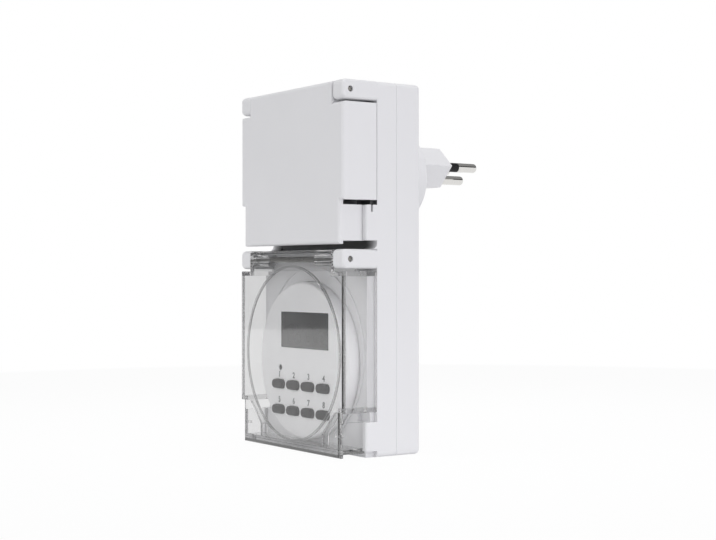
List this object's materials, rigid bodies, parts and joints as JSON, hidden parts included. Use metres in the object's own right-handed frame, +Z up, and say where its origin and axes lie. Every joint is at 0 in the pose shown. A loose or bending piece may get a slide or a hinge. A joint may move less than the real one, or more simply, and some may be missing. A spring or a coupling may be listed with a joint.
{
  "type": "plug-in digital timer",
  "caption": "Plug-in splash-proof digital timer: white two-shell box with a Swiss plug behind, a socket under a hinged cover and a round timer panel under a clear hinged cover.",
  "frame": {"origin": "middle of the plug's end face, between the live and neutral pins", "axes": "+Y along the pins into the wall socket, +Z up, X across the housing"},
  "size_m": [0.08, 0.0912, 0.15],
  "materials": {
    "white_plastic": "fine satin moulded white",
    "clear_plastic": "clear polished moulding",
    "grey_plastic": "fine satin pale grey",
    "key_plastic": "satin dark grey",
    "clear_window": "clear flat window",
    "display_grey": "grey liquid crystal glass",
    "black_plastic": "satin black",
    "yellow_plastic": "glossy moulded box",
    "plated_brass": "bright nickel plate",
    "contact_brass": "stamped strip",
    "screw_steel": "zinc plated",
    "polished_steel": "drawn wire",
    "seal_rubber": "black cord",
    "mat_rubber": "grey silicone",
    "board_laminate": "green glass fibre laminate",
    "can_aluminium": "drawn can",
    "fuse_glass": "clear tube"
  },
  "bodies": {
    "housing": {"front_housing": "white_plastic", "rear_housing": "white_plastic", "housing_seal": "seal_rubber", "case_screws": "screw_steel", "socket_hinge_pin": "polished_steel", "timer_hinge_pin": "polished_steel", "plug_body": "white_plastic", "live_pin": "plated_brass", "neutral_pin": "plated_brass", "earth_pin": "plated_brass", "live_pin_sleeve": "black_plastic", "neutral_pin_sleeve": "black_plastic", "socket_insert": "white_plastic", "contact_carrier": "white_plastic", "live_contact": "contact_brass", "neutral_contact": "contact_brass", "earth_contact": "contact_brass", "live_strap": "contact_brass", "neutral_strap": "contact_brass", "earth_strap": "contact_brass", "switched_strap": "contact_brass", "power_board": "board_laminate", "power_board_screws": "screw_steel", "relay": "black_plastic", "film_capacitor": "yellow_plastic", "smoothing_capacitor": "can_aluminium", "fuse": "fuse_glass", "board_header": "black_plastic", "timer_panel": "grey_plastic", "display_window": "clear_window", "display_glass": "display_grey", "display_frame": "black_plastic", "display_connectors": "seal_rubber", "control_board": "board_laminate", "control_board_screws": "screw_steel", "processor": "black_plastic", "backup_battery": "can_aluminium", "keypad_mat": "mat_rubber"},
    "socket_cover": {"socket_cover": "white_plastic"},
    "timer_cover": {"timer_cover": "clear_plastic"},
    "reset_plunger": {"reset_plunger": "grey_plastic"},
    "day_key": {"day_key": "key_plastic"},
    "hour_key": {"hour_key": "key_plastic"},
    "minute_key": {"minute_key": "key_plastic"},
    "recall_key": {"recall_key": "key_plastic"},
    "clock_key": {"clock_key": "key_plastic"},
    "timer_key": {"timer_key": "key_plastic"},
    "mode_key": {"mode_key": "key_plastic"},
    "random_key": {"random_key": "key_plastic"}
  },
  "joints": [
    {"name": "socket_cover_hinge", "type": "hinge", "parent": "housing", "child": "socket_cover", "pos_m": [0, -0.0685, 0.0261], "axis": [-1, 0, 0], "range_deg": [0, 110]},
    {"name": "timer_cover_hinge", "type": "hinge", "parent": "housing", "child": "timer_cover", "pos_m": [0, -0.0685, -0.0409], "axis": [-1, 0, 0], "range_deg": [0, 105]},
    {"name": "day_key_press", "type": "slide", "parent": "housing", "child": "day_key", "axis": [0, 1, 0], "range_m": [0, 0.001], "stiffness_N_per_m": 300},
    {"name": "hour_key_press", "type": "slide", "parent": "housing", "child": "hour_key", "axis": [0, 1, 0], "range_m": [0, 0.001], "stiffness_N_per_m": 300},
    {"name": "minute_key_press", "type": "slide", "parent": "housing", "child": "minute_key", "axis": [0, 1, 0], "range_m": [0, 0.001], "stiffness_N_per_m": 300},
    {"name": "recall_key_press", "type": "slide", "parent": "housing", "child": "recall_key", "axis": [0, 1, 0], "range_m": [0, 0.001], "stiffness_N_per_m": 300},
    {"name": "clock_key_press", "type": "slide", "parent": "housing", "child": "clock_key", "axis": [0, 1, 0], "range_m": [0, 0.001], "stiffness_N_per_m": 300},
    {"name": "timer_key_press", "type": "slide", "parent": "housing", "child": "timer_key", "axis": [0, 1, 0], "range_m": [0, 0.001], "stiffness_N_per_m": 300},
    {"name": "mode_key_press", "type": "slide", "parent": "housing", "child": "mode_key", "axis": [0, 1, 0], "range_m": [0, 0.001], "stiffness_N_per_m": 300},
    {"name": "random_key_press", "type": "slide", "parent": "housing", "child": "random_key", "axis": [0, 1, 0], "range_m": [0, 0.001], "stiffness_N_per_m": 300},
    {"name": "reset_press", "type": "slide", "parent": "housing", "child": "reset_plunger", "axis": [0, 1, 0], "range_m": [0, 0.0006], "stiffness_N_per_m": 300}
  ]
}
